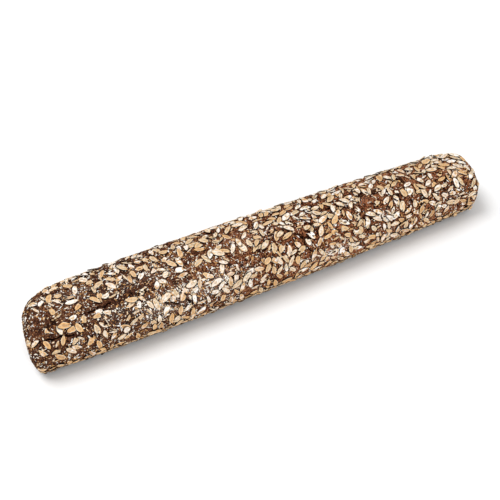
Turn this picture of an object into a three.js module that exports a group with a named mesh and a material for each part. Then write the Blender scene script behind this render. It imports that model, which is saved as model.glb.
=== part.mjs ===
// A long tin loaf of dark rye bread, baked in one piece. Millimetres, +Z up.
// The loaf rests on its flat base at z = 0 and lies along X, its narrower end at +X.
// The origin is in the middle of the base.
import * as THREE from "three";

// Driving sizes.
const LENGTH = 550;
const WIDTH = 86; // across the fullest part
const HEIGHT = 62; // from the base to the crown

// How the crust tapers and bows along the length, as shares of the width or height, or in mm.
const END_SLIMMING = 0.12; // both ends are this much slimmer than the middle
const TAPER = 0.105; // the -X end is this much fuller, and the +X end this much slimmer
const CROWN_DROP = 0.12; // how far the crown falls towards the ends
const BOW = -1.3; // the middle stands this far out to the front
const END_SKEW = { left: 0.135, right: 0.24 }; // the ends aren't square to the length

// The cross-section: two half superellipses that meet at the widest line.
const WIDEST_AT = 0.5; // height of the widest line, as a share of the height
const DOME_POWER = 2.5; // above the widest line: a broad dome with soft shoulders
const FLANK_POWER = 3.2; // below it: flanks that draw in to the base
const BASE_CUT = 1.12; // the lower half would reach this much deeper if the tin had no floor

// How far each end's rounding reaches in from the tip, on each side of the loaf.
const LEFT_END = { front: 12, back: 80, crown: 30, base: 16, power: 2.8 };
const RIGHT_END = { front: 8, back: 44, crown: 30, base: 28, power: 2.2 };

// The gentle unevenness of a baked crust.
const SWELLS = [
  { depth: 0.006, waves: 3, turns: 1, phase: 0.4 },
  { depth: 0.005, waves: 5, turns: 2, phase: 2.1 },
  { depth: 0.004, waves: 8, turns: -1, phase: 4.0 },
  { depth: 0.003, waves: 13, turns: 3, phase: 1.2 },
];

// Mesh steps.
const STEPS_AROUND = 44;
const STEPS_PER_END = 11;
const STEPS_BETWEEN = 34;
const RINGS = 2 * STEPS_PER_END + STEPS_BETWEEN;

// The section's edge in one direction round it, for a section of half width 1: y to the back, z up.
function sectionEdge(angle) {
  const y = Math.cos(angle);
  const z = Math.sin(angle);
  const power = z > 0 ? DOME_POWER : FLANK_POWER;
  const reach = (Math.abs(y) ** power + Math.abs(z) ** power) ** (-1 / power);
  return { y: y * reach, z: z * reach };
}

// One size for a direction round the section, from those at the front, back, crown and base.
function blendRound(sizes, angle) {
  const across = Math.cos(angle) ** 2;
  const upright = Math.sin(angle) ** 2;
  const sideways = Math.cos(angle) > 0 ? sizes.back : sizes.front;
  const updown = Math.sin(angle) > 0 ? sizes.crown : sizes.base;
  return across * sideways + upright * updown;
}

// How far in from the tip a ring of one rounded end lies, and how full it is there.
function endRing(stepsFromTip, end, angle) {
  const turn = ((stepsFromTip / STEPS_PER_END) * Math.PI) / 2;
  return {
    inset: blendRound(end, angle) * (1 - Math.cos(turn) ** (2 / end.power)),
    fullness: Math.sin(turn) ** (2 / end.power),
  };
}

// Where along X a ring lies, and how full it is, from 0 at a tip to 1 between the ends.
function ringPlace(step, angle) {
  const stepsToLastTip = RINGS - step;
  if (step <= STEPS_PER_END) {
    const { inset, fullness } = endRing(step, LEFT_END, angle);
    return { x: -LENGTH / 2 + inset, fullness };
  }
  if (stepsToLastTip <= STEPS_PER_END) {
    const { inset, fullness } = endRing(stepsToLastTip, RIGHT_END, angle);
    return { x: LENGTH / 2 - inset, fullness };
  }
  const share = (step - STEPS_PER_END) / STEPS_BETWEEN;
  const from = -LENGTH / 2 + blendRound(LEFT_END, angle);
  const to = LENGTH / 2 - blendRound(RIGHT_END, angle);
  return { x: from + share * (to - from), fullness: 1 };
}

// The share by which the crust stands out or in at one place.
function swell(along, angle) {
  return SWELLS.reduce(
    (sum, s) => sum + s.depth * Math.sin(s.waves * along + s.turns * angle + s.phase),
    1,
  );
}

// The point of the crust on one ring, in one direction round it.
function crustPoint(step, angle) {
  const { x, fullness } = ringPlace(step, angle);
  const along = x / (LENGTH / 2);
  const halfWidth = (WIDTH / 2) * (1 - END_SLIMMING * along ** 2) * (1 - TAPER * along);
  const widest = HEIGHT * WIDEST_AT;
  const crown = (HEIGHT - widest) * (1 - CROWN_DROP * along ** 2);
  const edge = sectionEdge(angle);
  const size = fullness * swell(along, angle);
  const y = edge.y * halfWidth * size + BOW * (1 - along ** 2);
  const depth = edge.z > 0 ? crown : widest * BASE_CUT;
  const z = Math.max(0, widest + edge.z * depth * size);
  const skew = along < 0 ? END_SKEW.left : END_SKEW.right;
  return new THREE.Vector3(x + skew * y * along ** 2, y, z);
}

// A sphere's grid, with its poles at the two ends, moved onto the crust.
function loafGeometry() {
  const geometry = new THREE.SphereGeometry(1, STEPS_AROUND, RINGS);
  const { position, uv } = geometry.attributes;
  for (let i = 0; i < position.count; i += 1) {
    const ring = Math.round(uv.getY(i) * RINGS);
    const spoke = Math.round(uv.getX(i) * STEPS_AROUND) % STEPS_AROUND;
    const isTip = ring === 0 || ring === RINGS;
    const angle = isTip ? 0 : (spoke / STEPS_AROUND) * 2 * Math.PI;
    const point = crustPoint(ring, angle);
    position.setXYZ(i, point.x, point.y, point.z);
  }
  geometry.computeBoundingBox();
  const middle = geometry.boundingBox.getCenter(new THREE.Vector3());
  geometry.translate(-middle.x, -middle.y, 0);
  geometry.computeVertexNormals();
  return geometry;
}

function crustMaterial() {
  return new THREE.MeshStandardMaterial({ color: 0x5b3826, roughness: 0.85, metalness: 0 });
}

const loaf = new THREE.Mesh(loafGeometry(), crustMaterial());
loaf.name = "loaf";

const tinLoaf = new THREE.Group();
tinLoaf.add(loaf);

export default tinLoaf;
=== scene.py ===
"""A long tin loaf of dark rye bread, rolled in oats before it was baked.

The crust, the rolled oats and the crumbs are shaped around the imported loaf, in metres.
"""

import math

import bmesh
import bpy
import numpy as np
from bpy.props import FloatProperty, FloatVectorProperty, IntProperty, PointerProperty
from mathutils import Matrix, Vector, noise
from mathutils.bvhtree import BVHTree
from mathutils.kdtree import KDTree


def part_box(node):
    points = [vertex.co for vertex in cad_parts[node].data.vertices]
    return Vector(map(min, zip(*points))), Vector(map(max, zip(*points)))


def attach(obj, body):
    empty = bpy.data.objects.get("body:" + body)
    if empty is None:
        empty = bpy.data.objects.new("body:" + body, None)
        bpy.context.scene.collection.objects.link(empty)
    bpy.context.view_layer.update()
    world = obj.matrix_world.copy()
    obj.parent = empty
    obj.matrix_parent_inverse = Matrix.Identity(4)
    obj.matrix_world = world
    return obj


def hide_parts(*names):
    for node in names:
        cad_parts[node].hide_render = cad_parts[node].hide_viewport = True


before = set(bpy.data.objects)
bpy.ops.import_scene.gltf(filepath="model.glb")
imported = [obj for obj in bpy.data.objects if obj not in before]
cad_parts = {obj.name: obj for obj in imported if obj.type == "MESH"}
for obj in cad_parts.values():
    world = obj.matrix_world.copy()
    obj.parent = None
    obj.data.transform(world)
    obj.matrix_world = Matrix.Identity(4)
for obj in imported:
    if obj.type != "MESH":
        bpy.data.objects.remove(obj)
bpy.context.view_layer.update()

bl_info = {
    "name": "Rye Tin Loaf",
    "version": (1, 0, 0),
    "blender": (4, 5, 0),
    "location": "View3D > Sidebar > Tin Loaf",
    "description": "Shapes the crust, rolled oats, crumbs and stage of a long rye tin loaf",
    "category": "Object",
}

MM = 0.001
LOAF_LOW, LOAF_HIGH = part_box("loaf")
HALF_HEIGHT = (LOAF_HIGH.z - LOAF_LOW.z) / 2
AXIS_Z = LOAF_LOW.z + HALF_HEIGHT
HALF_LENGTH = (LOAF_HIGH.x - LOAF_LOW.x) / 2
CRUST_NAME = "loaf_crust"
BODY = "root"

# Places on the crust are given as (along, around): millimetres from the loaf's middle towards
# the slim end, and degrees from the crown towards the front.

# Where the oats lie thin: the middle of each patch, its reach both ways, and how bare it is.
THIN_PATCHES = [
    ((-270, 90), (22, 22), 0.85),
    ((-250, 35), (16, 16), 0.5),
    ((-246, 104), (26, 12), 0.9),
    ((-182, 42), (18, 12), 0.7),
    ((-160, 30), (16, 10), 0.5),
    ((-140, 36), (14, 11), 0.7),
    ((-102, 41), (28, 12), 0.9),
    ((-37, 45), (17, 13), 0.9),
    ((-15, 5), (10, 9), 0.6),
    ((21, 46), (12, 12), 0.6),
    ((107, 30), (12, 10), 0.7),
    ((104, 76), (14, 9), 0.7),
    ((127, 20), (12, 12), 0.6),
    ((158, 46), (18, 8), 0.7),
    ((212, 20), (10, 14), 0.8),
    ((229, 100), (14, 12), 0.7),
    ((243, 58), (12, 22), 0.6),
]

# Where crumbs and flour gathered: the middle of each patch, its reach both ways, and how much.
DUSTY_PATCHES = [
    ((-210, -6), (20, 12), 0.4),
    ((-190, 57), (14, 10), 0.6),
    ((-153, 61), (18, 12), 0.7),
    ((-150, 10), (40, 18), 0.4),
    ((-141, 77), (24, 10), 1.0),
    ((-110, 66), (40, 15), 1.0),
    ((-70, 64), (26, 14), 0.9),
    ((-20, 8), (30, 18), 0.35),
    ((62, 84), (26, 12), 0.8),
    ((106, 14), (16, 9), 0.5),
    ((136, 54), (12, 8), 0.6),
    ((144, 101), (16, 8), 0.7),
    ((222, 70), (20, 12), 0.5),
    ((240, 12), (14, 10), 0.5),
]

# Cracks that opened in the crust as it baked, each a run of places.
CRACKS = [
    [(-266, 58), (-255, 62), (-243, 61), (-231, 66)],
    [(-210, 41), (-200, 39), (-189, 37), (-179, 39), (-169, 38), (-161, 34)],
    [(-135, 66), (-124, 74), (-116, 71), (-108, 78)],
    [(-74, -34), (-64, -40), (-52, -37)],
    [(24, 34), (31, 45), (29, 58), (34, 70)],
    [(66, 8), (74, 2), (83, 5)],
    [(152, -8), (160, 4), (157, 12)],
    [(-12, 96), (-2, 101), (10, 99)],
    [(-150, -112), (-128, -118), (-101, -110)],
    [(60, -92), (82, -99), (110, -96)],
]


# ---------------------------------------------------------------- settings


def length(name, description, default):
    return FloatProperty(
        name=name, description=description, default=default, min=0.0, unit="LENGTH", precision=5
    )


def colour(name, description, default):
    return FloatVectorProperty(
        name=name, description=description, default=default, size=3, min=0.0, max=1.0,
        subtype="COLOR",
    )


class TinLoafCrustSettings(bpy.types.PropertyGroup):
    """Sizes and colours of the baked crust."""

    step: length("Step", "Distance between the points of the crust's mesh", 1.36 * MM)
    inset: length("Inset", "How far the bare crust lies inside the oats' outer faces", 0.55 * MM)
    lumps: length("Lumps", "Height of the slow swells of the dough", 0.9 * MM)
    grain: length("Grain", "Height of the coarse grain of the rye meal", 0.85 * MM)
    crack_depth: length("Crack depth", "How deep the cracks are", 3.2 * MM)
    crack_width: length("Crack width", "How far a crack's sides slope out", 1.3 * MM)
    crack_clearance: length("Crack clearance", "How far the oats keep from a crack", 3.4 * MM)
    # Dark is the darkest dough and also the colour of the crust's painted shade.
    dark: colour("Dark", "Colour of the darkest dough", (0.009, 0.002, 0.0007))
    brown: colour("Brown", "Main colour of the crust", (0.135, 0.042, 0.02))
    warm: colour("Warm", "Colour of the reddish grains", (0.3, 0.105, 0.043))
    rusty: colour("Rusty", "Colour of the lightest grains", (0.46, 0.23, 0.115))
    tan: colour("Tan", "Colour of the bran chips", (0.5, 0.23, 0.095))
    burnt: colour("Burnt", "Colour that the full end is baked towards", (0.03, 0.014, 0.0095))
    flour: colour("Flour", "Colour of flour and pale bran", (0.82, 0.76, 0.66))


class TinLoafOatSettings(bpy.types.PropertyGroup):
    """Sizes and colours of the rolled oats."""

    flake_length: length("Flake length", "Usual length of a whole flake", 12.0 * MM)
    flake_thickness: length("Flake thickness", "Usual thickness of a flake", 0.95 * MM)
    tries: IntProperty(
        name="Tries", description="How many flakes are thrown at the crust", default=36000, min=0
    )
    seed: IntProperty(name="Seed", description="Which throw of the oats is used", default=7)
    floury: colour("Floury", "Colour of flour on a flake", (0.93, 0.92, 0.9))
    pale: colour("Pale", "Colour of the pale rims", (0.88, 0.81, 0.67))
    straw: colour("Straw", "Colour of an ordinary flake", (0.62, 0.51, 0.34))
    heart: colour("Heart", "Colour of the greyish middle of a flake", (0.45, 0.38, 0.25))
    golden: colour("Golden", "Colour of the toasted bands", (0.74, 0.42, 0.165))
    toasted: colour("Toasted", "Colour of well baked bran", (0.36, 0.155, 0.05))
    # The gap colour is painted shade on the oats and at the crumbs' foot, and the darkest crumbs'
    # own colour.
    gap: colour("Gap", "Colour of the soiled edges between the flakes", (0.011, 0.0028, 0.001))


class TinLoafCrumbSettings(bpy.types.PropertyGroup):
    """Numbers and sizes of the crumbs and of the slivers of flakes."""

    crumbs: IntProperty(name="Crumbs", description="How many crumbs lie on the crust", default=9000)
    slivers: IntProperty(name="Slivers", description="How many slivers lie on it", default=8000)
    smallest: length("Smallest", "Breadth of the smallest crumb", 0.5 * MM)
    largest: length("Largest", "Breadth of the largest crumb", 2.2 * MM)
    longest: length("Longest", "Length of the longest sliver", 5.5 * MM)
    seed: IntProperty(name="Seed", description="Which throw of the crumbs is used", default=11)


class TinLoafStageSettings(bpy.types.PropertyGroup):
    """The floor, the lights and the camera."""

    floor: colour("Floor", "Colour of the floor", (0.87, 0.87, 0.87))
    azimuth: FloatProperty(
        name="Azimuth", description="Which side the camera looks from",
        default=math.radians(-26.5), subtype="ANGLE",
    )
    elevation: FloatProperty(
        name="Elevation", description="How steeply the camera looks down",
        default=math.radians(46.0), subtype="ANGLE",
    )
    distance: length("Distance", "From the camera to the loaf", 0.95)
    lens: FloatProperty(name="Lens", description="Focal length in mm", default=62.2, min=1.0)
    sky: FloatProperty(name="Sky", description="Strength of the light all round", default=0.66)
    key: FloatProperty(name="Key", description="Power of the main soft light", default=64.0)
    key_size: length("Key size", "Breadth of the main soft light", 1.8)
    fill: FloatProperty(name="Fill", description="Power of the front soft light", default=31.5)
    fill_size: length("Fill size", "Breadth of the front soft light", 0.7)


# ---------------------------------------------------------------- the loaf's own surface


def smooth_loaf_tree():
    """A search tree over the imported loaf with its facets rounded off."""
    weld, sharpest, any_shape = 0.001 * MM, math.radians(40), math.radians(180)
    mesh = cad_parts["loaf"].data.copy()
    bm = bmesh.new()
    bm.from_mesh(mesh)
    bmesh.ops.remove_doubles(bm, verts=bm.verts, dist=weld)
    bmesh.ops.join_triangles(
        bm, faces=bm.faces, angle_face_threshold=sharpest, angle_shape_threshold=any_shape
    )
    bm.to_mesh(mesh)
    bm.free()
    shape = bpy.data.objects.new("smoothing", mesh)
    bpy.context.scene.collection.objects.link(shape)
    rounding = shape.modifiers.new("rounding", "SUBSURF")
    rounding.levels = 2
    tree = BVHTree.FromObject(shape, bpy.context.evaluated_depsgraph_get())
    bpy.data.objects.remove(shape)
    bpy.data.meshes.remove(mesh)
    return tree


def outward(angle):
    """The direction across the loaf at an angle from the crown towards the front."""
    return Vector((0.0, -math.sin(angle), math.cos(angle)))


def even_angles(tree, step):
    """Angles round the loaf that space points evenly, and twice as widely on the base."""
    base_share, fine_steps = 0.5, 1440
    fine = np.linspace(0.0, 2 * math.pi, fine_steps + 1)
    start = Vector((0.0, 0.0, AXIS_Z))
    ring = np.array([tree.ray_cast(start, outward(a))[0] for a in fine])
    run = np.linalg.norm(np.diff(ring, axis=0), axis=1)
    on_base = ring[1:, 2] < LOAF_LOW.z + 1 * MM
    travelled = np.concatenate([[0.0], np.cumsum(np.where(on_base, base_share * run, run))])
    count = int(travelled[-1] / step)
    return np.interp(np.arange(count) / count * travelled[-1], travelled, fine)


def ray_rows(step):
    """Where each row's rays start along X, and how far they lean along and outward."""
    cap = 1.2 * HALF_HEIGHT  # how much of each end is reached by rays that lean along the loaf
    face = max(1, round(HALF_HEIGHT / step))
    side = max(1, round(cap / step))
    middle = round(2 * (HALF_LENGTH - cap) / step)
    end = [(cap, HALF_HEIGHT * k / face) for k in range(1, face + 1)]
    end += [(cap * (1 - k / side), HALF_HEIGHT) for k in range(1, side + 1)]
    inner = HALF_LENGTH - cap
    rows = [(-inner, -lean, out) for lean, out in end]
    rows += [(-inner + 2 * inner * k / middle, 0.0, 1.0) for k in range(1, middle)]
    rows += [(inner, lean, out) for lean, out in reversed(end)]
    return rows


def crust_grid(tree, step):
    """Points of the smooth loaf in rows round it, and the two tips."""
    around_step = 0.82 * step
    angles = even_angles(tree, around_step)
    across = [outward(a) for a in angles]
    grid = []
    for start_x, lean, out in ray_rows(step):
        start = Vector((start_x, 0.0, AXIS_Z))
        grid.append([
            tree.ray_cast(start, (direction * out + Vector((lean, 0.0, 0.0))).normalized())[0]
            for direction in across
        ])
    centre = Vector((0.0, 0.0, AXIS_Z))
    tips = [tree.ray_cast(centre, Vector((side, 0.0, 0.0)))[0] for side in (-1.0, 1.0)]
    return np.array(grid), np.array(tips)


def grid_normals(grid):
    """Outward normals of the rows of points."""
    along = np.gradient(grid, axis=0)
    around = np.roll(grid, -1, axis=1) - np.roll(grid, 1, axis=1)
    normals = np.cross(around, along)
    normals /= np.linalg.norm(normals, axis=2, keepdims=True)
    return normals


def ramp_up(values, start, over):
    """0 up to start, then rising to 1 over that much more."""
    return np.clip((values - start) / over, 0, 1)


def place_of(points):
    """(along in mm, around in degrees) of each point."""
    around = np.degrees(np.arctan2(-points[..., 1], points[..., 2] - AXIS_Z))
    return points[..., 0] / MM, around


def patch_strength(points, patches):
    """How strongly the patches reach each point, from 0 to about 1."""
    falloff, edge = 0.7, 1.5  # a higher edge makes the patches' rims sharper
    along, around = place_of(points)
    total = np.zeros(along.shape)
    for (mid_along, mid_around), (reach_along, reach_around), strength in patches:
        far = ((along - mid_along) / reach_along) ** 2
        far += ((around - mid_around) / reach_around) ** 2
        total = np.maximum(total, strength * np.exp(-(far ** edge) * falloff))
    return total


def fractal(points, waves, octaves, seed=0.0):
    """Rough noise at each point, about -1 to 1, with that many waves to the metre."""
    shift = Vector((seed, 2.7 * seed, -1.3 * seed))
    roughness, finer = 0.7, 2.1
    return np.array([
        noise.fractal(Vector(p) * waves + shift, roughness, finer, octaves) for p in points
    ])


# ---------------------------------------------------------------- mesh and node helpers


def new_piece(name, mesh, material):
    """A piece of the loaf that rides with it."""
    piece = bpy.data.objects.new(name, mesh)
    bpy.context.scene.collection.objects.link(piece)
    mesh.materials.append(material)
    mesh.polygons.foreach_set("use_smooth", np.ones(len(mesh.polygons), bool))
    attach(piece, BODY)
    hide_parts("loaf")
    return piece


def new_mesh(name, points, faces):
    mesh = bpy.data.meshes.new(name)
    mesh.from_pydata(points, [], faces)
    mesh.update()
    return mesh


def add_numbers(mesh, name, values):
    """One number at each point of a mesh."""
    attribute = mesh.attributes.new(name, "FLOAT", "POINT")
    attribute.data.foreach_set("value", np.asarray(values, np.float32))


def add_vectors(mesh, name, values):
    """One vector at each point of a mesh."""
    attribute = mesh.attributes.new(name, "FLOAT_VECTOR", "POINT")
    attribute.data.foreach_set("vector", np.asarray(values, np.float32).ravel())


def add_bake_map(mesh, corner_places):
    layer = mesh.uv_layers.new(name="OFBake")
    layer.data.foreach_set("uv", np.asarray(corner_places, np.float32).ravel())


class Nodes:
    """A short way to lay out one material's nodes."""

    def __init__(self, name):
        self.material = bpy.data.materials.new(name)
        self.material.use_nodes = True
        self.tree = self.material.node_tree
        self.shader = self.tree.nodes["Principled BSDF"]

    def add(self, kind, inputs=None, **settings):
        node = self.tree.nodes.new(kind)
        for key, value in settings.items():
            setattr(node, key, value)
        for key, value in (inputs or {}).items():
            self.feed(node.inputs[key], value)
        return node

    def feed(self, socket, value):
        if isinstance(value, bpy.types.NodeSocket):
            self.tree.links.new(value, socket)
        else:
            socket.default_value = value

    def number(self, name):
        """The number that the mesh carries under that name."""
        return self.add("ShaderNodeAttribute", attribute_name=name).outputs["Fac"]

    def vector(self, name):
        return self.add("ShaderNodeAttribute", attribute_name=name).outputs["Vector"]

    def place(self, scale=(1.0, 1.0, 1.0)):
        """The place on the object, in metres, stretched by scale."""
        where = self.add("ShaderNodeTexCoord").outputs["Object"]
        return self.add("ShaderNodeMapping", {"Vector": where, "Scale": scale}).outputs[0]

    def foot(self, strength):
        """As high as strength at the loaf's foot and 0 above it: painted shade that darkens the
        foot where the loaf meets the floor.
        """
        clear, dark = LOAF_LOW.z + 9.5 * MM, LOAF_LOW.z + 5.5 * MM
        height = self.add("ShaderNodeSeparateXYZ", {"Vector": self.place()}).outputs["Z"]
        return self.math("MULTIPLY", self.fade(height, clear, dark), strength)

    def noise(self, vector, waves, detail=3.0, roughness=0.6):
        inputs = {"Vector": vector, "Scale": waves, "Detail": detail, "Roughness": roughness}
        return self.add("ShaderNodeTexNoise", inputs).outputs["Fac"]

    def math(self, operation, first, second=0.0, third=0.0):
        node = self.add("ShaderNodeMath", operation=operation)
        for socket, value in zip(node.inputs, (first, second, third)):
            self.feed(socket, value)
        return node.outputs[0]

    def sway(self, start, value, amount):
        """start, moved up or down by half of amount as the value goes from 0 to 1."""
        return self.math("MULTIPLY_ADD", self.math("SUBTRACT", value, 0.5), amount, start)

    def most(self, first, *others):
        """The largest of the values."""
        for other in others:
            first = self.math("MAXIMUM", first, other)
        return first

    def fade(self, value, low, high):
        """0 at low, 1 at high, and smooth between."""
        node = self.add("ShaderNodeMapRange", interpolation_type="SMOOTHSTEP")
        self.feed(node.inputs["Value"], value)
        node.inputs["From Min"].default_value = low
        node.inputs["From Max"].default_value = high
        return node.outputs["Result"]

    def ramp(self, value, *stops):
        """A colour for each value, from (position, colour) stops."""
        node = self.add("ShaderNodeValToRGB", {"Fac": value})
        elements = node.color_ramp.elements
        while len(elements) < len(stops):
            elements.new(1.0)
        for element, (position, rgb) in zip(elements, stops):
            element.position = position
            element.color = (*rgb, 1.0)
        return node.outputs["Color"]

    def blend(self, factor, first, second):
        """A mix of two colours."""
        node = self.add("ShaderNodeMix", data_type="RGBA")
        self.feed(node.inputs["Factor"], factor)
        colours = [socket for socket in node.inputs if socket.type == "RGBA"]
        for socket, value in zip(colours, (first, second)):
            self.feed(socket, value if isinstance(value, bpy.types.NodeSocket) else (*value, 1.0))
        return next(socket for socket in node.outputs if socket.type == "RGBA")

    def coat(self, under, over, strength, *where):
        """One colour laid over another, where all of the given values are high."""
        for value in where:
            strength = self.math("MULTIPLY", value, strength)
        return self.blend(strength, under, over)

    def bump(self, height, distance, strength=1.0, under=None):
        inputs = {"Height": height, "Distance": distance, "Strength": strength}
        if under is not None:
            inputs["Normal"] = under
        return self.add("ShaderNodeBump", inputs).outputs["Normal"]

    def finish(self, base, roughness, normal, gloss):
        self.feed(self.shader.inputs["Base Color"], base)
        self.feed(self.shader.inputs["Roughness"], roughness)
        self.feed(self.shader.inputs["Normal"], normal)
        self.shader.inputs["Specular IOR Level"].default_value = gloss
        return self.material


# ---------------------------------------------------------------- crust


def crust_material(settings):
    """Rough rye crust: dark dough, reddish grains, pale bran specks, flour in the hollows and
    painted shade.
    """
    n = Nodes("rye_crust")
    where = n.place()
    coarse = n.noise(where, 170.0, 5.0, 0.68)
    fine = n.noise(where, 820.0, 4.0, 0.7)
    broad = n.noise(where, 24.0, 2.0, 0.5)
    cells = n.add("ShaderNodeTexVoronoi", {"Vector": where, "Scale": 700.0, "Randomness": 1.0})
    lot = n.add("ShaderNodeSeparateColor", {"Color": cells.outputs["Color"]}).outputs
    tone = 0.45
    for texture, share in ((coarse, 1.1), (fine, 1.3), (broad, 0.7), (lot["Green"], 0.62)):
        tone = n.sway(tone, texture, share)
    dough = n.ramp(
        tone, (0.2, settings.dark), (0.4, settings.brown), (0.66, settings.warm),
        (0.95, settings.rusty),
    )
    along = n.add("ShaderNodeSeparateXYZ", {"Vector": where}).outputs["X"]
    towards_left = n.fade(along, 0.06, -0.2)
    dough = n.coat(dough, settings.burnt, 0.66, towards_left)

    inside = n.fade(cells.outputs["Distance"], 0.5, 0.3)
    tan_share = 0.14
    dough = n.coat(dough, settings.tan, 0.8, n.math("LESS_THAN", lot["Blue"], tan_share), inside)
    flour_here = n.number("flour")
    pale_share = n.math("MULTIPLY_ADD", flour_here, 0.14, 0.03)
    pale = n.math("MULTIPLY", n.math("LESS_THAN", lot["Red"], pale_share), inside)
    pale = n.math("MULTIPLY", pale, 0.9)
    dough = n.blend(pale, dough, settings.flour)
    dusting = n.fade(n.noise(where, 1500.0, 3.0, 0.8), 0.5, 0.68)
    dough = n.coat(dough, settings.flour, 0.4, dusting, flour_here)

    # Painted shade: the crust is darkened beside the flakes.
    beside_flake_shade = n.math("MULTIPLY", n.fade(n.number("beside_flake_shade"), 0.3, 0.85), 0.9)
    shade = n.math("MULTIPLY", n.most(n.number("crevice_shade"), beside_flake_shade), 0.95)
    # Painted shade: the crust is darkened inside and near the cracks.
    crack = n.fade(n.number("near_crack"), 0.66, 0.8)
    # Painted shade: the foot is darkened too.
    base = n.blend(n.most(shade, crack, n.foot(0.85)), dough, settings.dark)
    rough = n.math("MULTIPLY_ADD", coarse, 0.3, 0.66)
    height = n.sway(n.math("ADD", fine, pale), lot["Green"], 0.7)
    normal = n.bump(height, 0.7 * MM, under=n.bump(coarse, 2.2 * MM))
    return n.finish(base, rough, normal, gloss=0.03)


def crack_places():
    """Places (along, around) close together on every crack."""
    steps = 120
    places = []
    for run in CRACKS:
        for (x0, a0), (x1, a1) in zip(run, run[1:]):
            for share in np.arange(steps) / steps:
                places.append((x0 + share * (x1 - x0), a0 + share * (a1 - a0)))
    return places


def drift(spot, waves):
    """A smooth sideways drift at a place, about 1 long, the same on every run."""
    shifts = (Vector((0.0, 0.0, 0.0)), Vector((7.3, 1.9, 4.1)), Vector((3.7, 9.2, 6.4)))
    return Vector([noise.noise(spot * waves + shift) for shift in shifts])


def crack_tree(tree):
    """A search tree over the cracks where they run on the crust."""
    wander, slow, quick = 2.6 * MM, 160.0, 520.0
    points = []
    for along, around in crack_places():
        start = Vector((along * MM, 0.0, AXIS_Z))
        spot = tree.ray_cast(start, outward(math.radians(around)))[0]
        if spot is not None:
            points.append(spot + wander * (drift(spot, slow) + 0.5 * drift(spot, quick)))
    found = KDTree(len(points))
    for index, point in enumerate(points):
        found.insert(point, index)
    found.balance()
    return found


def crust_relief(points, settings, tree):
    """How far each point stands out from the smooth loaf, how much painted shade it gets in its
    seams, pores and low grain, and how near to a crack."""
    seam_depth, pore_depth = 0.8 * MM, 0.45 * MM
    lumps = fractal(points, waves=38.0, octaves=2, seed=3.1)
    grain = fractal(points, waves=250.0, octaves=3, seed=8.4)
    seams = np.abs(fractal(points, waves=62.0, octaves=3, seed=5.2))
    where = fractal(points, waves=21.0, octaves=1, seed=1.7)
    open_seam = np.clip(1 - seams / 0.055, 0, 1) * ramp_up(where, 0.05, 0.2)
    pores = ramp_up(fractal(points, waves=330.0, octaves=2, seed=4.4), 0.42, 0.25)
    cracks = crack_tree(tree)
    gap = np.array([cracks.find(Vector(p))[2] for p in points])
    width = settings.crack_width * (0.75 + 0.5 * np.clip(lumps + 0.5, 0, 1))
    crack = np.clip(1 - (gap / width) ** 2, 0, 1)
    relief = settings.lumps * lumps + settings.grain * grain - settings.inset
    relief -= seam_depth * open_seam + pore_depth * pores + settings.crack_depth * crack
    # Painted shade: the seams, pores and hollows of the grain are darkened in the crust's colour.
    crevice_shade = np.maximum(0.8 * open_seam, 0.5 * pores)
    crevice_shade = np.maximum(crevice_shade, 0.5 * ramp_up(-grain, 0.35, 1))
    return relief, crevice_shade, np.clip(1 - gap / settings.crack_clearance, 0, 1)


def settle_on_base(points, normals):
    """Keeps every point at or above the loaf's flat base, and the base itself a touch uneven."""
    base, rim, near = LOAF_LOW.z + 0.3 * MM, LOAF_LOW.z + 0.25 * MM, 0.9 * MM
    facing_down = normals[:, 2] < -0.7
    uneven = 0.16 * MM * fractal(points, waves=180.0, octaves=2, seed=2.2)
    lowest = np.where(facing_down, base + uneven, rim)
    points[:, 2] = np.where(
        facing_down & (points[:, 2] < base + near), lowest, np.maximum(points[:, 2], lowest)
    )
    return points


def grid_faces(rows, count):
    """Faces between the rows of points, with a fan at each tip."""
    row = np.arange(rows - 1)[:, None] * count
    col = np.arange(count)[None, :]
    right = (col + 1) % count
    quads = np.stack([row + col, row + col + count, row + right + count, row + right], -1)
    faces = quads.reshape(-1, 4).tolist()
    left_tip, right_tip = rows * count, rows * count + 1
    last = (rows - 1) * count
    for c in range(count):
        after = (c + 1) % count
        faces.append([left_tip, c, after])
        faces.append([right_tip, last + after, last + c])
    return faces


def crust_bake_map(rows, count):
    """Flat places for the corners of the crust's faces: round by along."""
    row = np.arange(rows - 1)[:, None] + np.zeros((1, count))
    col = np.arange(count)[None, :] + np.zeros((rows - 1, 1))
    u = np.stack([col, col, col + 1, col + 1], -1) / count
    v = (np.stack([row, row + 1, row + 1, row], -1) + 1) / (rows + 1)
    corners = np.stack([u, v], -1).reshape(-1, 2)
    fans = []
    for c in range(count):
        left, middle, right = c / count, (c + 0.5) / count, (c + 1) / count
        fans += [(middle, 0.0), (left, 1 / (rows + 1)), (right, 1 / (rows + 1))]
        fans += [(middle, 1.0), (right, rows / (rows + 1)), (left, rows / (rows + 1))]
    return np.concatenate([corners, fans])


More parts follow.
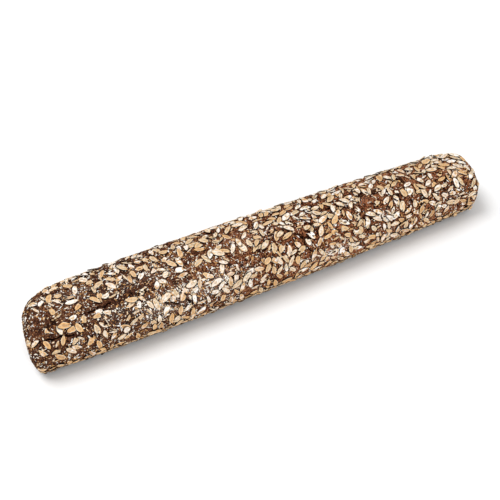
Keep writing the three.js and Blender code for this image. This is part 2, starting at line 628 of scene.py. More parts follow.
class TIN_LOAF_OT_shape_crust(bpy.types.Operator):
    """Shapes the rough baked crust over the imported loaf"""

    bl_idname = "tin_loaf.shape_crust"
    bl_label = "Shape the Crust"

    def execute(self, context):
        settings = context.scene.tin_loaf_crust
        tree = smooth_loaf_tree()
        grid, tips = crust_grid(tree, settings.step)
        rows, count = grid.shape[:2]
        normals = grid_normals(grid)
        points = np.concatenate([grid.reshape(-1, 3), tips])
        tip_normals = np.array([[-1.0, 0.0, 0.0], [1.0, 0.0, 0.0]])
        normals = np.concatenate([normals.reshape(-1, 3), tip_normals])
        relief, crevice_shade, near_crack = crust_relief(points, settings, tree)
        shaped = settle_on_base(points + normals * relief[:, None], normals)
        mesh = new_mesh(CRUST_NAME, shaped, grid_faces(rows, count))
        add_numbers(mesh, "crevice_shade", crevice_shade)
        add_numbers(mesh, "flour", patch_strength(points, DUSTY_PATCHES))
        add_numbers(mesh, "beside_flake_shade", np.zeros(len(points)))
        add_numbers(mesh, "near_crack", near_crack)
        add_vectors(mesh, "smooth_place", points)
        add_vectors(mesh, "smooth_normal", normals)
        add_bake_map(mesh, crust_bake_map(rows, count))
        new_piece(CRUST_NAME, mesh, crust_material(settings))
        return {"FINISHED"}


# ---------------------------------------------------------------- rolled oats

OAT_ROWS = 11
OAT_LANES = np.array([-1.0, -0.85, -0.58, 0.0, 0.58, 0.85, 1.0])
MID_LANE = len(OAT_LANES) // 2
# Across a flake, in thicknesses: a raised rim, then two plump halves with a crease between.
TOP_PROFILE = np.array([0.0, 0.82, 0.92, 0.66, 0.92, 0.82, 0.0])
BELLY_DEPTH = 0.34
# How near each lane is to the rim, from 0 to 1.
RIM_LANES = np.array([1.0, 0.8, 0.35, 0.0, 0.35, 0.8, 1.0])
FOOTPRINT = np.array(
    [(0.0, 0.0)]
    + [(0.5 * math.cos(a), 0.5 * math.sin(a)) for a in np.arange(6) * math.pi / 3]
    + [(0.9 * math.cos(a), 0.9 * math.sin(a)) for a in (np.arange(6) + 0.5) * math.pi / 3]
)
MOST_OATS = 8000
BASE_FACING = -0.8  # a place faces the base when its normal's height is below this
OTHER_SIDE = 4 * MM  # flakes this far above or below one another can't touch


def surface_sampler(points, faces, rng, many):
    """Random places on a mesh, evenly by area, each with the point it lies near."""
    a, b, c = points[faces[:, 0]], points[faces[:, 1]], points[faces[:, 2]]
    area = np.linalg.norm(np.cross(b - a, c - a), axis=1)
    picked = np.searchsorted(np.cumsum(area) / area.sum(), rng.random(many))
    u, v = rng.random(many), rng.random(many)
    u, v = np.where(u + v > 1, 1 - u, u)[:, None], np.where(u + v > 1, 1 - v, v)[:, None]
    spots = a[picked] + u * (b[picked] - a[picked]) + v * (c[picked] - a[picked])
    return spots, faces[picked, 0]


def mesh_vectors(mesh, name):
    """The vectors that a mesh carries under that name, one to a row."""
    values = np.empty(len(mesh.vertices) * 3, np.float32)
    mesh.attributes[name].data.foreach_get("vector", values)
    return values.reshape(-1, 3).astype(float)


def crust_samples(crust, rng, many):
    """Random places on the smooth crust, with their normals and nearness to a crack."""
    mesh = crust.data
    mesh.calc_loop_triangles()
    faces = np.empty(len(mesh.loop_triangles) * 3, np.int32)
    mesh.loop_triangles.foreach_get("vertices", faces)
    near_crack = np.empty(len(mesh.vertices), np.float32)
    mesh.attributes["near_crack"].data.foreach_get("value", near_crack)
    points, normals = mesh_vectors(mesh, "smooth_place"), mesh_vectors(mesh, "smooth_normal")
    spots, nearest = surface_sampler(points, faces.reshape(-1, 3), rng, many)
    return spots, normals[nearest], near_crack[nearest]


def foot_share(points):
    """0 on the flanks and crown, and 1 at the foot of the loaf."""
    starts_at, blend_over = 108, 5  # degrees from the crown
    _, around = place_of(points)
    return ramp_up(np.abs(around), starts_at, blend_over)


def oat_cover(points, normals):
    """How closely the oats lie at each point, from 0 for none to 1 for no room left."""
    left, right_gain, shoulder_gain, foot_cover = 0.39, 0.41, 0.16, 0.95
    along, around = place_of(points)
    towards_right = ramp_up(along, -130, 210)
    towards_right = towards_right ** 2 * (3 - 2 * towards_right)
    shoulder = np.clip(ramp_up(around, 52, 12) + ramp_up(-around, 18, 14), 0, 1)
    cover = left + right_gain * towards_right + shoulder_gain * shoulder * (1 - towards_right)
    cover *= 1 - patch_strength(points, THIN_PATCHES)
    cover += (foot_cover - cover) * 0.8 * foot_share(points)
    end = ramp_up(np.abs(normals[:, 0]), 0.55, 0.3)
    cover *= 1 - end * np.where(along < 0, 0.6, 0.3)
    return np.where(normals[:, 2] < BASE_FACING, 0.3 * cover, cover)


class OatBed:
    """The flakes laid so far. A new one finds out from it what it would lie on."""

    CELL = 14 * MM

    def __init__(self):
        self.count = 0
        self.cells = {}
        self.centre = np.zeros((MOST_OATS, 3))
        self.axes = np.zeros((MOST_OATS, 3, 3))
        self.half = np.zeros((MOST_OATS, 2))
        self.lean = np.zeros((MOST_OATS, 3))
        self.thick = np.zeros(MOST_OATS)

    def near(self, centre):
        cx, cy, cz = (int(math.floor(c / self.CELL)) for c in centre)
        found = []
        for x in (cx - 1, cx, cx + 1):
            for y in (cy - 1, cy, cy + 1):
                for z in (cz - 1, cz, cz + 1):
                    found += self.cells.get((x, y, z), ())
        return found

    def heights_under(self, centre, axes, half):
        """How high the earlier flakes stand at each spot of a new one's footprint."""
        near = self.near(centre)
        if not near:
            return np.zeros(len(FOOTPRINT))
        spots = centre + (FOOTPRINT * half) @ axes[:2]
        local = np.einsum("skc,kac->ska", spots[:, None] - self.centre[near], self.axes[near])
        place = local[..., :2] / self.half[near]
        inside = ((place ** 2).sum(-1) < 1) & (np.abs(local[..., 2]) < OTHER_SIDE)
        lean = self.lean[near]
        top = lean[:, 0] + (place * lean[:, 1:]).sum(-1) + self.thick[near]
        return np.where(inside, top, 0.0).max(1)

    def add(self, centre, axes, half, lean, thick):
        i = self.count
        self.centre[i], self.axes[i], self.half[i] = centre, axes, half
        self.lean[i], self.thick[i] = lean, thick
        cell = tuple(int(math.floor(c / self.CELL)) for c in centre)
        self.cells.setdefault(cell, []).append(i)
        self.count += 1


def rest_on(heights):
    """The lean of a flake on what lies under it: its middle's height and its two slopes."""
    middle = 0.22  # when what lies under it is this near its middle, a flake lies level
    touched = heights > 0
    if not touched.any():
        return np.zeros(3)
    towards = FOOTPRINT[touched].mean(0)
    reach = np.linalg.norm(towards)
    if reach < middle:
        return np.array([heights.max(), 0.0, 0.0])
    towards /= reach
    share_of_lift = np.clip(0.5 + 0.5 * FOOTPRINT[touched] @ towards, 0.35, 1.0)
    lift = (heights[touched] / share_of_lift).max()
    return np.array([lift / 2, lift / 2 * towards[0], lift / 2 * towards[1]])


def turned_axes(normal, heading):
    """A flake's long axis, cross axis and outward axis; with no heading it lies along the loaf."""
    level = np.cross((1.0, 0.0, 0.0) if abs(normal[0]) < 0.9 else (0.0, 0.0, 1.0), normal)
    level /= np.linalg.norm(level)
    first = np.cross(level, normal)
    long_axis = math.cos(heading) * first + math.sin(heading) * level
    return np.array([long_axis, np.cross(normal, long_axis), normal])


# The kinds of flake: how often each is thrown, and its length and breadth next to a whole one's.
OAT_KINDS = (
    ("whole", 0.64, 1.0, 1.0),
    ("broken", 0.12, 0.66, 1.0),
    ("sliver", 0.14, 0.72, 0.42),
    ("round", 0.1, 0.76, 1.12),
)


def pick_kind(chance):
    for kind in OAT_KINDS:
        chance -= kind[1]
        if chance < 0:
            return kind
    return OAT_KINDS[0]


def lay_oats(crust, settings):
    """Throws flakes at the crust one by one, and keeps those that find room."""
    rng = np.random.default_rng(settings.seed)
    spots, facing, near_crack = crust_samples(crust, rng, settings.tries)
    steepness = 4.0  # how sharply the dense places stand out from the thin ones
    chance = np.expm1(steepness * oat_cover(spots, facing)) / math.expm1(steepness)
    chance[near_crack > 0] = 0.0
    bed = OatBed()
    kinds = []
    highest, apart = 1.1 * MM, 0.25 * MM
    usual_overlap, loose_overlap, loose_share = 0.06, 0.36, 0.14
    tipped_share, tipped, level = 0.14, 0.525 * MM, 0.14 * MM
    for spot, normal, wanted, foot in zip(spots, facing, chance, foot_share(spots)):
        heading, size, luck, which, slim, loose = rng.random(6)
        if luck > wanted or bed.count >= MOST_OATS:
            continue
        kind, _, longer, broader = pick_kind(which)
        whole = settings.flake_length * (0.84 + 0.34 * size)
        whole *= 1 - 0.35 * foot
        half = 0.5 * whole * np.array([longer, (0.4 + 0.14 * slim) * broader])
        turn = (heading - 0.5) * math.pi * (1 - 0.7 * foot) + (math.pi if loose > 0.5 else 0.0)
        axes = turned_axes(normal, turn)
        heights = bed.heights_under(spot, axes, half + apart)
        lean = rest_on(heights)
        crowded = (heights > 0).mean()
        most_overlap = loose_overlap if loose > 1 - loose_share else usual_overlap
        if crowded > most_overlap or lean[0] > highest:
            continue
        thick = settings.flake_thickness * (0.75 + 0.5 * rng.random())
        tip_up = tipped if rng.random() < tipped_share else level
        lean[1:] += rng.normal(0, tip_up, 2)
        bed.add(spot, axes, half, lean, thick)
        kinds.append(kind)
    return bed, kinds


def flake_outlines(kinds, half, rng):
    """Places along and across every flake for its rows of points, and of its two tips."""
    # The most that a flake may be wider near one tip, wider on one side, and bent sideways.
    egg, lopsided, bent = 0.16, 0.16, 0.22
    uneven, chipped_share, chip = 0.06, 0.025, 0.35
    many = len(kinds)
    kinds = np.array(kinds)
    turn = np.linspace(-1, 1, OAT_ROWS + 2)
    u = np.sin(turn * math.pi / 2)[None, :] * np.ones((many, 1))
    cut = np.where(kinds == "broken", rng.uniform(0.15, 0.5, many), 1.0)[:, None]
    u_cut = -1 + (u + 1) / 2 * (cut + 1)
    blunt = np.where(kinds == "round", 0.5, rng.uniform(0.6, 0.86, many))[:, None]
    power = rng.uniform(1.8, 2.5, (many, 1))
    breadth = np.clip(1 - np.abs(u_cut) ** power, 0, 1) ** blunt
    u_cut = u_cut + rng.uniform(-egg, egg, (many, 1)) * (1 - u_cut ** 2)
    along = (u_cut - (cut - 1) / 2) / ((cut + 1) / 2)
    sides = 1 + rng.normal(0, uneven, (many, OAT_ROWS + 2, 2))
    chipped = rng.random((many, OAT_ROWS + 2, 2)) < chipped_share
    sides = np.where(chipped, sides - chip, sides)
    sides = sides * (1 + rng.uniform(-lopsided, lopsided, (many, 1, 2)))
    side_breadth = np.where(OAT_LANES < 0, sides[:, :, :1], sides[:, :, 1:])
    across = breadth[:, :, None] * OAT_LANES * side_breadth
    across += rng.uniform(-bent, bent, (many, 1, 1)) * (1 - u_cut[:, :, None] ** 2)
    return along * half[:, :1], across * half[:, 1:, None], u, breadth


def oat_template():
    """The faces of one flake's top, lane by lane, and of its belly, which shares the rim."""
    lanes = len(OAT_LANES)

    def top(row, lane):
        return 2 + row * lanes + lane

    def belly(row, lane):
        return (top(row, 0), 2 + OAT_ROWS * lanes + row, top(row, lanes - 1))[lane]

    def strips(point, count):
        faces = []
        for lane in range(count):
            faces.append([0, point(0, lane), point(0, lane + 1)])
            for row in range(OAT_ROWS - 1):
                faces.append([
                    point(row, lane), point(row + 1, lane),
                    point(row + 1, lane + 1), point(row, lane + 1),
                ])
            faces.append([1, point(OAT_ROWS - 1, lane + 1), point(OAT_ROWS - 1, lane)])
        return faces

    return strips(top, lanes - 1), [face[::-1] for face in strips(belly, 2)]


def flake_points(bed, kinds, rng):
    """Every flake's points in its own frame, with how near each is to the rim and crease."""
    many = bed.count
    along, across, u, breadth = flake_outlines(kinds, bed.half[:many], rng)
    thick = bed.thick[:many, None, None]
    fullness = np.sqrt(breadth)[:, :, None]
    ripple = 1 + rng.normal(0, 0.12, across.shape)
    curl = rng.normal(0.12, 0.36, (many, 1, 1)) * thick
    bow = rng.normal(0.0, 0.34, (many, 1, 1)) * thick
    cupped = curl * OAT_LANES ** 2 + bow * (u ** 2)[:, :, None]
    top = np.stack([
        along[:, :, None] + np.zeros_like(across),
        across,
        thick * TOP_PROFILE * fullness * ripple + cupped,
    ], -1)
    belly = top[:, :, MID_LANE].copy()
    belly[..., 2] = (cupped - BELLY_DEPTH * thick * fullness)[:, :, MID_LANE]
    tips = top[:, [0, -1], MID_LANE]
    local = np.concatenate([tips, top[:, 1:-1].reshape(many, -1, 3), belly[:, 1:-1]], 1)
    near_tip = np.abs(u[0, 1:-1, None])
    rim = np.maximum(RIM_LANES, near_tip ** 9).ravel()
    crease = ((np.abs(OAT_LANES) < 0.1) * (1 - near_tip ** 2)).ravel()
    pad = np.zeros(OAT_ROWS)
    return local, np.concatenate([[1, 1], rim, pad]), np.concatenate([[0, 0], crease, pad])


def sheet_terms(i, j):
    return np.stack([np.ones_like(i), i, j, i * i, i * j, j * j], -1)


SHEET_PLACES = [(i, j) for i in (-0.85, 0.0, 0.85) for j in (-0.85, 0.0, 0.85)]
SHEET_FIT = np.linalg.pinv(sheet_terms(*np.array(SHEET_PLACES).T))


def crust_under(tree, centre, axes, half):
    """A curved sheet fitted to the crust under one flake: six numbers of a quadratic."""
    above, past_the_edge = 5 * MM, -1.5 * MM
    heights = []
    for i, j in SHEET_PLACES:
        start = centre + axes[0] * half[0] * i + axes[1] * half[1] * j + axes[2] * above
        distance = tree.ray_cast(Vector(start), Vector(-axes[2]), 3 * above)[3]
        heights.append(past_the_edge if distance is None else above - distance)
    return SHEET_FIT @ np.array(heights)


def bend_to_crust(local, bed, tree):
    """Each flake's points laid on the crust and on the flakes below it."""
    give = np.array([1.0, 1.0, 1.0, 0.8, 0.8, 0.8])  # a flake is stiffer than the sheet it lies on
    sunk = 0.05 * MM
    deepest = -0.5 * MM  # how far the low side of a leaning flake presses into the dough
    placed = np.empty_like(local)
    for k in range(bed.count):
        centre, axes, half = bed.centre[k], bed.axes[k], bed.half[k]
        i, j = local[k, :, 0] / half[0], local[k, :, 1] / half[1]
        sheet = crust_under(tree, centre, axes, half) * give
        lean = np.maximum(bed.lean[k, 0] + bed.lean[k, 1] * i + bed.lean[k, 2] * j, deepest)
        height = local[k, :, 2] + sheet_terms(i, j) @ sheet + lean - sunk
        placed[k] = centre + np.stack([local[k, :, 0], local[k, :, 1], height], -1) @ axes
    placed[..., 2] = np.maximum(placed[..., 2], LOAF_LOW.z)
    return placed


def nearness(local, half, fade_over):
    """1 under a flake, and falling to 0 at that distance from its rim, in its own frame."""
    out = np.hypot(local[..., 0] / half[0], local[..., 1] / half[1])
    return np.clip(1 - (out - 1) * half.mean() / fade_over, 0, 1)


def shade_overlaps(placed, bed):
    """How near each point of a flake is to a later flake that lies over it, from 0 to 1, for
    painted shade under it.
    """
    fade_over = 0.9 * MM
    shade = np.zeros(placed.shape[:2])
    for k in range(1, bed.count):
        below = [i for i in bed.near(bed.centre[k]) if i < k]
        if below:
            local = (placed[below] - bed.centre[k]) @ bed.axes[k].T
            near = nearness(local, bed.half[k], fade_over)
            over_it = local[..., 2] > bed.lean[k, 0] + bed.thick[k]
            near[over_it | (local[..., 2] < -OTHER_SIDE)] = 0
            shade[below] = np.maximum(shade[below], near)
    return shade


def mark_gaps(crust, bed):
    """Tells the crust how close each of its points is to a flake, for the painted shade that
    darkens the crust beside the flakes.
    """
    mesh = crust.data
    points = np.empty(len(mesh.vertices) * 3)
    mesh.vertices.foreach_get("co", points)
    points = points.reshape(-1, 3)
    tree = KDTree(len(points))
    for index, point in enumerate(points):
        tree.insert(point, index)
    tree.balance()
    beside_flake_shade = np.zeros(len(points))
    fade_over = 1.0 * MM
    for k in range(bed.count):
        found = tree.find_range(Vector(bed.centre[k]), bed.half[k, 0] + fade_over)
        index = np.array([f[1] for f in found], int)
        local = (points[index] - bed.centre[k]) @ bed.axes[k].T
        near = nearness(local, bed.half[k], fade_over)
        near[np.abs(local[:, 2]) > OTHER_SIDE] = 0
        beside_flake_shade[index] = np.maximum(beside_flake_shade[index], near)
    mesh.attributes["beside_flake_shade"].data.foreach_set("value", beside_flake_shade.astype(np.float32))


def oat_side(bed):
    """The name of the side that each flake lies on."""
    centre, facing = bed.centre[: bed.count], bed.axes[: bed.count, 2]
    _, around = place_of(centre)
    crown_reach, end_facing = 42, 0.7
    side = np.where(around > 0, "front", "back")
    side = np.where(np.abs(around) < crown_reach, "crown", side)
    side = np.where(facing[:, 0] < -end_facing, "left_end", side)
    side = np.where(facing[:, 0] > end_facing, "right_end", side)
    return np.where(facing[:, 2] < BASE_FACING, "base", side)


def oat_tints(bed, rng):
    """How toasted each flake is, from 0 for white to 1 for brown, with painted light and shade by
    side, and how floury.
    """
    many = bed.count
    usual, spread, white_share, floury_share = 0.52, 0.2, 0.12, 0.42
    tint = np.clip(rng.normal(usual, spread, many), 0, 1)
    white = rng.random(many) < white_share
    tint = np.where(white, rng.uniform(0.0, 0.2, many), tint)
    _, around = place_of(bed.centre[:many])
    # Painted light and shade: flakes on the back are painted paler and those low on the front
    # darker.
    tint += 0.3 * ramp_up(around, 80, 25) - 0.14 * ramp_up(-around, 25, 25)
    flour = patch_strength(bed.centre[:many], DUSTY_PATCHES) * rng.uniform(0.3, 1.0, many)
    floury = rng.random(many) < floury_share
    flour = np.maximum(flour, np.where(floury, rng.uniform(0.4, 1.0, many), 0.0))
    return np.clip(tint, 0, 1), flour * (1 - foot_share(bed.centre[:many]))


def oat_material(settings):
    """Rolled oats: a greyish heart, a toasted band, a pale rim partly painted as highlight, flour
    in patches and painted shade.
    """
    n = Nodes("rolled_oats")
    grain = n.vector("grain")
    lengthwise = n.add("ShaderNodeMapping", {"Vector": grain, "Scale": (0.17, 1.0, 1.0)})
    fibres = n.noise(lengthwise.outputs[0], 1500.0, 4.0, 0.65)
    mottle = n.noise(grain, 420.0, 3.0, 0.6)
    patches = n.noise(grain, 190.0, 2.0, 0.5)
    body = n.ramp(
        n.sway(n.number("tint"), mottle, 0.6),
        (0.0, settings.floury), (0.22, settings.pale), (0.45, settings.straw),
        (0.72, settings.golden), (1.0, settings.toasted),
    )
    mottled = n.fade(mottle, 0.3, 0.6)
    edge = n.sway(n.number("rim"), fibres, 0.4)
    body = n.coat(body, settings.heart, 0.65, n.fade(edge, 0.42, 0.08), mottled)
    band = n.fade(edge, 0.14, 0.42)
    body = n.coat(body, settings.golden, 0.85, band, n.fade(patches, 0.3, 0.52))
    body = n.coat(body, settings.toasted, 0.5, n.fade(fibres, 0.52, 0.66))
    body = n.coat(body, settings.pale, 0.5, n.fade(fibres, 0.46, 0.3))
    body = n.coat(body, settings.toasted, 0.6, n.number("crease"), mottled)
    # Partly the oats' own paler edges and partly painted highlight: the rims are painted pale in
    # patches.
    rim_light = n.fade(edge, 0.52, 0.74)
    body = n.coat(body, settings.pale, 0.85, rim_light, n.fade(patches, 0.62, 0.42))
    body = n.coat(body, settings.floury, 0.85, n.number("flour"), n.fade(patches, 0.46, 0.56))
    # Painted shade: the outer rims, the parts under later flakes and the foot are darkened to the
    # gap colour.
    shaded = n.most(n.fade(n.number("rim"), 0.74, 0.9), n.number("overlap_shade"), n.foot(0.85))
    base = n.coat(body, settings.gap, 0.96, shaded)
    rough = n.math("MULTIPLY_ADD", fibres, 0.25, 0.62)
    normal = n.bump(mottle, 0.5 * MM, 0.7, under=n.bump(fibres, 0.3 * MM))
    return n.finish(base, rough, normal, gloss=0.15)


def cell_map(many, one):
    """One cell of a square sheet for each of many equal shapes."""
    across = math.ceil(math.sqrt(many))
    cell = np.stack(np.divmod(np.arange(many), across)[::-1], -1)
    return ((np.array(one)[None] + cell[:, None]) / across).reshape(-1, 2)


def oat_bake_cell(top_faces, belly_faces):
    """Where the corners of one flake's faces lie in its cell: top above, belly below."""
    half_length, half_breadth = 0.44, 0.19
    lanes = len(OAT_LANES)
    turn = np.sin(np.linspace(-1, 1, OAT_ROWS + 2) * math.pi / 2)

    def spot(point):
        if point < 2:
            return 2.0 * point - 1.0, 0.0
        row, lane = divmod(point - 2, lanes)
        if row < OAT_ROWS:
            return turn[row + 1], OAT_LANES[lane]
        return turn[point - 2 - OAT_ROWS * lanes + 1], 0.0

    one = []
    for middle, faces in ((0.75, top_faces), (0.25, belly_faces)):
        for point in (p for face in faces for p in face):
            along, side = spot(point)
            one.append((0.5 + half_length * along, middle + half_breadth * side))
    return one


def repeated_faces(one, many, each):
    """The faces of one shape, repeated for many shapes of each so many points."""
    return [[start + p for p in face] for start in range(0, many * each, each) for face in one]


class TIN_LOAF_OT_roll_in_oats(bpy.types.Operator):
    """Covers the crust with rolled oats, flake by flake"""

    bl_idname = "tin_loaf.roll_in_oats"
    bl_label = "Roll in Oats"

    def execute(self, context):
        settings = context.scene.tin_loaf_oats
        crust = bpy.data.objects.get(CRUST_NAME)
        if crust is None:
            raise RuntimeError("Shape the crust before rolling it in oats")
        bed, kinds = lay_oats(crust, settings)
        rng = np.random.default_rng(settings.seed + 1)
        local, rim, crease = flake_points(bed, kinds, rng)
        placed = bend_to_crust(local, bed, self.smooth_tree(context, crust))
        tint, flour = oat_tints(bed, rng)
        each = local.shape[1]
        numbers = {
            "tint": np.repeat(tint[:, None], each, 1),
            "flour": np.repeat(flour[:, None], each, 1),
            "rim": np.repeat(rim[None], bed.count, 0),
            "crease": np.repeat(crease[None], bed.count, 0),
            "overlap_shade": shade_overlaps(placed, bed),
        }
        material = oat_material(settings)
        side = oat_side(bed)
        for name in ("crown", "front", "back", "left_end", "right_end", "base"):
            chosen = np.nonzero(side == name)[0]
            if len(chosen):
                self.make_piece("oats_" + name, chosen, placed, local, numbers, material)
        mark_gaps(crust, bed)
        return {"FINISHED"}

    def smooth_tree(self, context, crust):
        """A search tree over the crust without its grain."""
        inset = context.scene.tin_loaf_crust.inset
        mesh = crust.data
        points = mesh_vectors(mesh, "smooth_place") - inset * mesh_vectors(mesh, "smooth_normal")
        return BVHTree.FromPolygons(points.tolist(), [tuple(p.vertices) for p in mesh.polygons])

    def make_piece(self, name, chosen, placed, local, numbers, material):
        many, each = len(chosen), local.shape[1]
        top_faces, belly_faces = oat_template()
        faces = repeated_faces(top_faces + belly_faces, many, each)
        mesh = new_mesh(name, placed[chosen].reshape(-1, 3), faces)
        for label, values in numbers.items():
            add_numbers(mesh, label, values[chosen].ravel())
        apart = 20 * MM  # so that no two flakes share their grain
        own = local[chosen].copy()
        own[..., 0] += apart * np.arange(many)[:, None]
        add_vectors(mesh, "grain", own.reshape(-1, 3))
        add_bake_map(mesh, cell_map(many, oat_bake_cell(top_faces, belly_faces)))
        new_piece(name, mesh, material)


# ---------------------------------------------------------------- crumbs

CRUMB_SIDES = 5


def crumb_material(settings):
    """Crumbs of oats, bran and flour, from white to brown, with painted shade at the foot."""
    n = Nodes("oat_crumbs")
    mottle = n.noise(n.place(), 1400.0, 3.0, 0.6)
    base = n.ramp(
        n.sway(n.number("tint"), mottle, 0.3),
        (0.0, settings.floury), (0.3, settings.pale), (0.55, settings.golden),
        (0.8, settings.toasted), (1.0, settings.gap),
    )
    # Painted shade: crumbs at the loaf's foot are darkened.
    base = n.blend(n.foot(0.8), base, settings.gap)
    rough = n.math("MULTIPLY_ADD", mottle, 0.2, 0.7)
    return n.finish(base, rough, n.bump(mottle, 0.3 * MM, 0.7), gloss=0.1)


def crumb_shapes(sizes, slimness, rng):
    """Irregular flat chips: a rim of points round a raised and a lowered middle."""
    many = len(sizes)
    turn = (np.arange(CRUMB_SIDES) + rng.uniform(-0.3, 0.3, (many, CRUMB_SIDES)))
    turn = turn * 2 * math.pi / CRUMB_SIDES
    reach = sizes[:, None] / 2 * rng.uniform(0.7, 1.15, (many, CRUMB_SIDES))
    breadth = slimness[:, None] * reach
    tilt = rng.normal(0, 0.16, (many, CRUMB_SIDES)) * breadth
    rim = np.stack([reach * np.cos(turn), breadth * np.sin(turn), tilt], -1)
    thick = np.minimum(sizes * 0.3, 0.6 * MM)[:, None]
    off_middle = rng.normal(0, 0.08, (many, 2)) * sizes[:, None] * [[1.0, 0.4]]
    top = np.concatenate([off_middle, thick], 1)
    bottom = np.concatenate([np.zeros((many, 2)), -0.6 * thick], 1)
    return np.concatenate([rim, top[:, None], bottom[:, None]], 1)


def crumb_faces():
    """The faces of one crumb, its top before its underside, and their places in its cell."""
    top, bottom = CRUMB_SIDES, CRUMB_SIDES + 1
    ring = [(k, (k + 1) % CRUMB_SIDES) for k in range(CRUMB_SIDES)]
    faces = [(k, after, top) for k, after in ring] + [(after, k, bottom) for k, after in ring]

    def spot(point, middle):
        turn, reach = point * 2 * math.pi / CRUMB_SIDES, 0.0 if point >= top else 0.2
        return 0.5 + reach * math.cos(turn), middle + reach * math.sin(turn)

    middles = [0.75] * CRUMB_SIDES + [0.25] * CRUMB_SIDES
    cell = [spot(point, middle) for face, middle in zip(faces, middles) for point in face]
    return faces, cell


class TIN_LOAF_OT_scatter_crumbs(bpy.types.Operator):
    """Scatters oat crumbs, bran chips and specks of flour between the flakes"""

    bl_idname = "tin_loaf.scatter_crumbs"
    bl_label = "Scatter Crumbs"

    def execute(self, context):
        settings = context.scene.tin_loaf_crumbs
        crust = bpy.data.objects.get(CRUST_NAME)
        if crust is None:
            raise RuntimeError("Shape the crust before scattering crumbs on it")
        rng = np.random.default_rng(settings.seed)
        material = crumb_material(context.scene.tin_loaf_oats)
        lift = 0.2 * MM - context.scene.tin_loaf_crust.inset
        self.scatter(crust, "oat_crumbs", settings.crumbs, (settings.smallest, settings.largest),
                     (0.4, 1.0), lift, material, rng)
        self.scatter(crust, "oat_slivers", settings.slivers, (settings.largest, settings.longest),
                     (0.22, 0.45), lift, material, rng)
        return {"FINISHED"}

    def scatter(self, crust, name, count, sizes, slimness, lift, material, rng):
        spots, facing, near_crack = crust_samples(crust, rng, 3 * count)
        dusty = patch_strength(spots, DUSTY_PATCHES)
        along, _ = place_of(spots)
        wanted = 0.25 + 0.2 * ramp_up(-along, -60, 160) + 0.55 * dusty
        wanted = np.where(facing[:, 2] < BASE_FACING, 0.1, wanted) * (near_crack < 0.5)
        kept = np.nonzero(rng.random(len(spots)) < wanted)[0][:count]
        spots, facing, dusty = spots[kept], facing[kept], dusty[kept]
        many = len(kept)
        smallest, largest = sizes
        size = smallest + (largest - smallest) * rng.random(many) ** 2
        local = crumb_shapes(size, rng.uniform(*slimness, many), rng)
        headings = rng.uniform(0, 2 * math.pi, many)
        axes = np.array([turned_axes(f, h) for f, h in zip(facing, headings)])
        base = spots + facing * lift
        points = base[:, None] + np.einsum("kpi,kij->kpj", local, axes)
        points[..., 2] = np.maximum(points[..., 2], LOAF_LOW.z)
        one, cell = crumb_faces()
        each = local.shape[1]
        mesh = new_mesh(name, points.reshape(-1, 3), repeated_faces(one, many, each))
        # Painted shade: crumbs at the foot are given a browner tint.
        tint = rng.normal(0.42, 0.27, many) - 0.15 * dusty + 0.3 * foot_share(spots)
        add_numbers(mesh, "tint", np.repeat(np.clip(tint, 0, 1), each))
        add_bake_map(mesh, cell_map(many, cell))
        new_piece(name, mesh, material)


# ---------------------------------------------------------------- stage


def plain_material(name, rgb, roughness):
    material = bpy.data.materials.new(name)
    material.use_nodes = True
    shader = material.node_tree.nodes["Principled BSDF"]
    shader.inputs["Base Color"].default_value = (*rgb, 1.0)
    shader.inputs["Roughness"].default_value = roughness
    shader.inputs["Specular IOR Level"].default_value = 0.1
    return material


def aim(thing, place, target):
    thing.location = place
    thing.rotation_euler = (target - place).to_track_quat("-Z", "Y").to_euler()


def add_softbox(name, place, target, size, power):
    light = bpy.data.lights.new(name, "AREA")
    light.shape = "DISK"
    light.size = size
    light.energy = power
    softbox = bpy.data.objects.new(name, light)
    bpy.context.scene.collection.objects.link(softbox)
    aim(softbox, place, target)


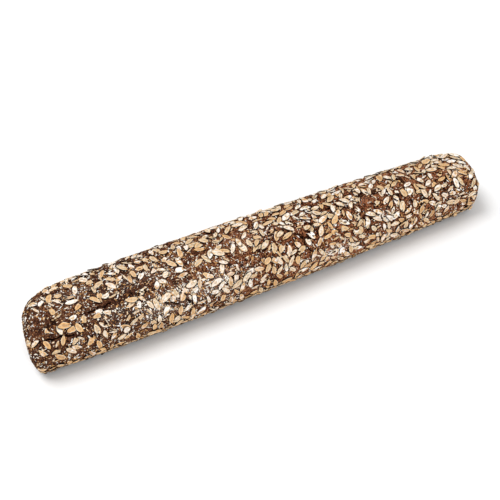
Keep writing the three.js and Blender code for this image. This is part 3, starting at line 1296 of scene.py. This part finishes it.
class TIN_LOAF_OT_set_stage(bpy.types.Operator):
    """Sets the pale floor, the soft light and the camera"""

    bl_idname = "tin_loaf.set_stage"
    bl_label = "Set the Stage"

    def execute(self, context):
        settings = context.scene.tin_loaf_stage
        self.lay_floor(settings)
        self.light_stage(context, settings)
        self.place_camera(context, settings)
        return {"FINISHED"}

    def lay_floor(self, settings):
        reach = 40.0
        corners = [(-reach, -reach), (reach, -reach), (reach, reach), (-reach, reach)]
        mesh = new_mesh("floor", [(x, y, LOAF_LOW.z) for x, y in corners], [(0, 1, 2, 3)])
        mesh.materials.append(plain_material("pale_floor", settings.floor, 0.9))
        floor = bpy.data.objects.new("floor", mesh)
        bpy.context.scene.collection.objects.link(floor)

    def light_stage(self, context, settings):
        world = bpy.data.worlds.new("soft_room")
        world.use_nodes = True
        sky = world.node_tree.nodes["Background"]
        sky.inputs["Color"].default_value = (1.0, 1.0, 1.0, 1.0)
        sky.inputs["Strength"].default_value = settings.sky
        context.scene.world = world
        context.scene.view_settings.view_transform = "Standard"
        middle = Vector((0.0, 0.0, AXIS_Z))
        above_and_behind, low_in_front = Vector((-1.05, 0.75, 2.7)), Vector((0.3, -2.8, 0.75))
        add_softbox("key", above_and_behind, middle, settings.key_size, settings.key)
        add_softbox("fill", low_in_front, middle, settings.fill_size, settings.fill)

    def place_camera(self, context, settings):
        framing = Vector((-18.3 * MM, 4.5 * MM, 0.0))  # sets the loaf a little off the centre
        target = (LOAF_LOW + LOAF_HIGH) / 2 + framing
        level = math.cos(settings.elevation)
        back = Vector((
            math.sin(settings.azimuth) * level,
            -math.cos(settings.azimuth) * level,
            math.sin(settings.elevation),
        ))
        lens = bpy.data.cameras.new("camera")
        lens.lens = settings.lens
        lens.sensor_width = 36.0
        camera = bpy.data.objects.new("camera", lens)
        context.scene.collection.objects.link(camera)
        aim(camera, target + settings.distance * back, target)
        context.scene.camera = camera


# ---------------------------------------------------------------- panel


class TIN_LOAF_PT_panel(bpy.types.Panel):
    """The steps of making the loaf, with their settings"""

    bl_idname = "TIN_LOAF_PT_panel"
    bl_label = "Tin Loaf"
    bl_space_type = "VIEW_3D"
    bl_region_type = "UI"
    bl_category = "Tin Loaf"

    def draw(self, context):
        scene = context.scene
        steps = (
            (TIN_LOAF_OT_shape_crust, scene.tin_loaf_crust),
            (TIN_LOAF_OT_roll_in_oats, scene.tin_loaf_oats),
            (TIN_LOAF_OT_scatter_crumbs, scene.tin_loaf_crumbs),
            (TIN_LOAF_OT_set_stage, scene.tin_loaf_stage),
        )
        for operator, settings in steps:
            box = self.layout.box()
            for name in settings.__annotations__:
                box.prop(settings, name)
            box.operator(operator.bl_idname)


CLASSES = (
    TinLoafCrustSettings,
    TinLoafOatSettings,
    TinLoafCrumbSettings,
    TinLoafStageSettings,
    TIN_LOAF_OT_shape_crust,
    TIN_LOAF_OT_roll_in_oats,
    TIN_LOAF_OT_scatter_crumbs,
    TIN_LOAF_OT_set_stage,
    TIN_LOAF_PT_panel,
)


def register():
    for cls in CLASSES:
        bpy.utils.register_class(cls)
    bpy.types.Scene.tin_loaf_crust = PointerProperty(type=TinLoafCrustSettings)
    bpy.types.Scene.tin_loaf_oats = PointerProperty(type=TinLoafOatSettings)
    bpy.types.Scene.tin_loaf_crumbs = PointerProperty(type=TinLoafCrumbSettings)
    bpy.types.Scene.tin_loaf_stage = PointerProperty(type=TinLoafStageSettings)


def unregister():
    for name in ("tin_loaf_stage", "tin_loaf_crumbs", "tin_loaf_oats", "tin_loaf_crust"):
        delattr(bpy.types.Scene, name)
    for cls in reversed(CLASSES):
        bpy.utils.unregister_class(cls)


def main():
    register()
    bpy.ops.tin_loaf.shape_crust()
    bpy.ops.tin_loaf.roll_in_oats()
    bpy.ops.tin_loaf.scatter_crumbs()
    bpy.ops.tin_loaf.set_stage()


if __name__ == "__main__":
    main()
